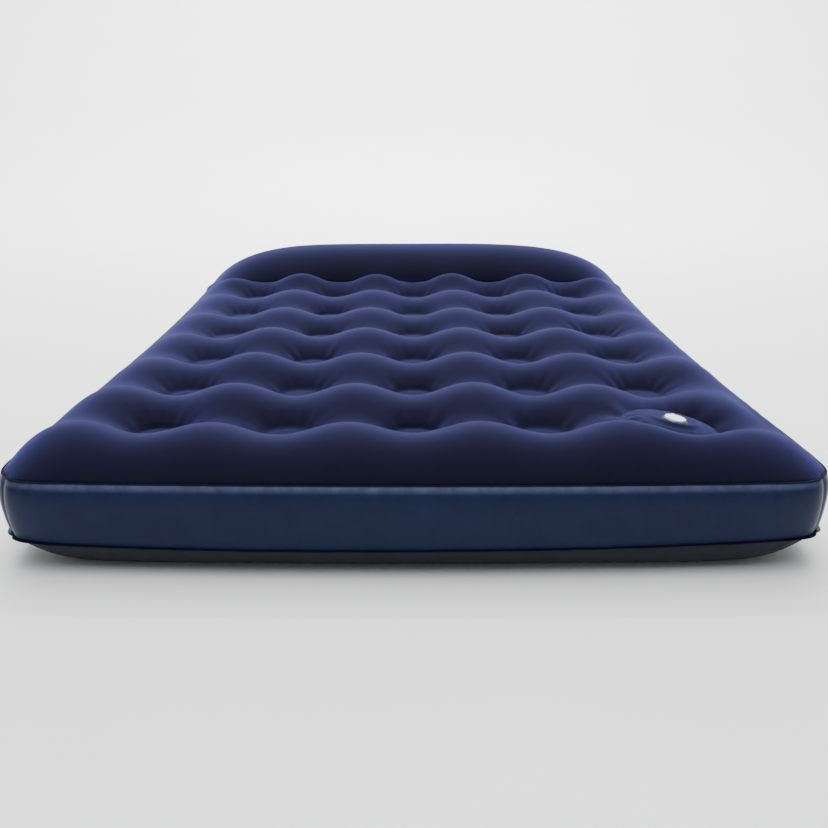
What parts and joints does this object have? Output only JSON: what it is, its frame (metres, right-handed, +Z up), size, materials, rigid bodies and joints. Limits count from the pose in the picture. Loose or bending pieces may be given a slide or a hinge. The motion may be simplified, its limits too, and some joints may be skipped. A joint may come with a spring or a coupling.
{
  "type": "air mattress",
  "caption": "Flocked double air mattress with coil-dimpled top, raised head pillow, built-in foot pump and a screw valve.",
  "frame": {"origin": "on the floor, at the middle of the overall box", "axes": "+X across the bed, +Y towards the head end with the pillow, +Z up"},
  "size_m": [1.3692, 1.9199, 0.2872],
  "materials": {
    "flock": "short navy flock on PVC, dark when seen square on and paler at grazing angles",
    "wall_pvc": "smooth navy PVC with a fine emboss and a soft sheen",
    "base_pvc": "plain dark PVC, satin",
    "weld_pvc": "flattened welded PVC edge, satin",
    "inner_pvc": "plain PVC film, satin",
    "white_plastic": "moulded white plastic, semi-gloss",
    "dark_plastic": "moulded dark navy plastic, matte",
    "blue_plastic": "moulded navy plastic, satin",
    "foam": "open-cell grey foam",
    "seal_rubber": "matte black rubber"
  },
  "bodies": {
    "mattress": {"top_sheet": "flock", "pillow_panel": "flock", "side_wall": "wall_pvc", "bottom_sheet": "base_pvc", "top_seam": "weld_pvc", "bottom_seam": "weld_pvc", "pillow_seam": "weld_pvc", "pillow_beam": "inner_pvc", "coil_row1_col1": "inner_pvc", "coil_row1_col2": "inner_pvc", "coil_row1_col3": "inner_pvc", "coil_row1_col4": "inner_pvc", "coil_row2_col1": "inner_pvc", "coil_row2_col2": "inner_pvc", "coil_row2_col3": "inner_pvc", "coil_row2_col4": "inner_pvc", "coil_row2_col5": "inner_pvc", "coil_row3_col1": "inner_pvc", "coil_row3_col2": "inner_pvc", "coil_row3_col3": "inner_pvc", "coil_row3_col4": "inner_pvc", "coil_row3_col5": "inner_pvc", "coil_row4_col1": "inner_pvc", "coil_row4_col2": "inner_pvc", "coil_row4_col3": "inner_pvc", "coil_row4_col4": "inner_pvc", "coil_row4_col5": "inner_pvc", "coil_row5_col1": "inner_pvc", "coil_row5_col2": "inner_pvc", "coil_row5_col3": "inner_pvc", "coil_row5_col4": "inner_pvc", "coil_row5_col5": "inner_pvc", "coil_row6_col1": "inner_pvc", "coil_row6_col2": "inner_pvc", "coil_row6_col3": "inner_pvc", "coil_row6_col4": "inner_pvc", "coil_row6_col5": "inner_pvc", "pump_rim": "weld_pvc", "pump_skirt": "flock", "pump_foam": "foam", "pump_chamber": "inner_pvc", "pump_tie": "inner_pvc", "outlet_body": "white_plastic", "valve_flange": "wall_pvc", "valve_seat": "blue_plastic"},
    "pump_pad": {"pump_cover": "flock", "intake_body": "dark_plastic", "intake_pin": "white_plastic"},
    "intake_lid": {"intake_cap": "white_plastic"},
    "intake_check": {"intake_flap": "inner_pvc"},
    "outlet_check": {"outlet_flap": "inner_pvc"},
    "valve_ring": {"valve_tether": "blue_plastic"},
    "valve_plug": {"valve_stopper": "blue_plastic", "valve_gasket": "seal_rubber", "valve_pin": "blue_plastic"},
    "valve_lid": {"valve_cap": "blue_plastic"},
    "valve_check": {"valve_diaphragm": "inner_pvc"}
  },
  "joints": [
    {"name": "pump_press", "type": "slide", "parent": "mattress", "child": "pump_pad", "axis": [-0.1736, 0, -0.9848], "range_m": [0, 0.042], "stiffness_N_per_m": 2400, "deforming": ["pump_foam", "pump_skirt"]},
    {"name": "intake_lid_open", "type": "hinge", "parent": "pump_pad", "child": "intake_lid", "pos_m": [0.45865, -0.6992, 0.20168], "axis": [-0.9848, 0, 0.1736], "range_deg": [0, 140]},
    {"name": "intake_check_swing", "type": "hinge", "parent": "pump_pad", "child": "intake_check", "pos_m": [0.45547, -0.7065, 0.18366], "axis": [0.9848, 0, -0.1736], "range_deg": [0, 35], "stiffness_Nm_per_rad": 0.01},
    {"name": "outlet_check_swing", "type": "hinge", "parent": "mattress", "child": "outlet_check", "pos_m": [0.43141, -0.721, 0.10768], "axis": [0, 1, 0], "range_deg": [0, 35], "stiffness_Nm_per_rad": 0.01},
    {"name": "valve_back_off", "type": "slide", "parent": "mattress", "child": "valve_ring", "axis": [0, 1, 0], "range_m": [0, 0.006]},
    {"name": "valve_turn", "type": "hinge", "parent": "valve_ring", "child": "valve_plug", "pos_m": [0.3, 0.955, 0.107], "axis": [0, 1, 0], "range_deg": [0, 540]},
    {"name": "valve_lid_open", "type": "hinge", "parent": "valve_plug", "child": "valve_lid", "pos_m": [0.283, 0.9626, 0.107], "axis": [0, 0, 1], "range_deg": [0, 140]},
    {"name": "valve_check_swing", "type": "hinge", "parent": "valve_plug", "child": "valve_check", "pos_m": [0.2883, 0.9427, 0.107], "axis": [0, 0, -1], "range_deg": [0, 35], "stiffness_Nm_per_rad": 0.01}
  ],
  "couplings": [
    {"joint": "valve_back_off", "follows": "valve_turn", "m_per_rad": 0.00063662}
  ]
}
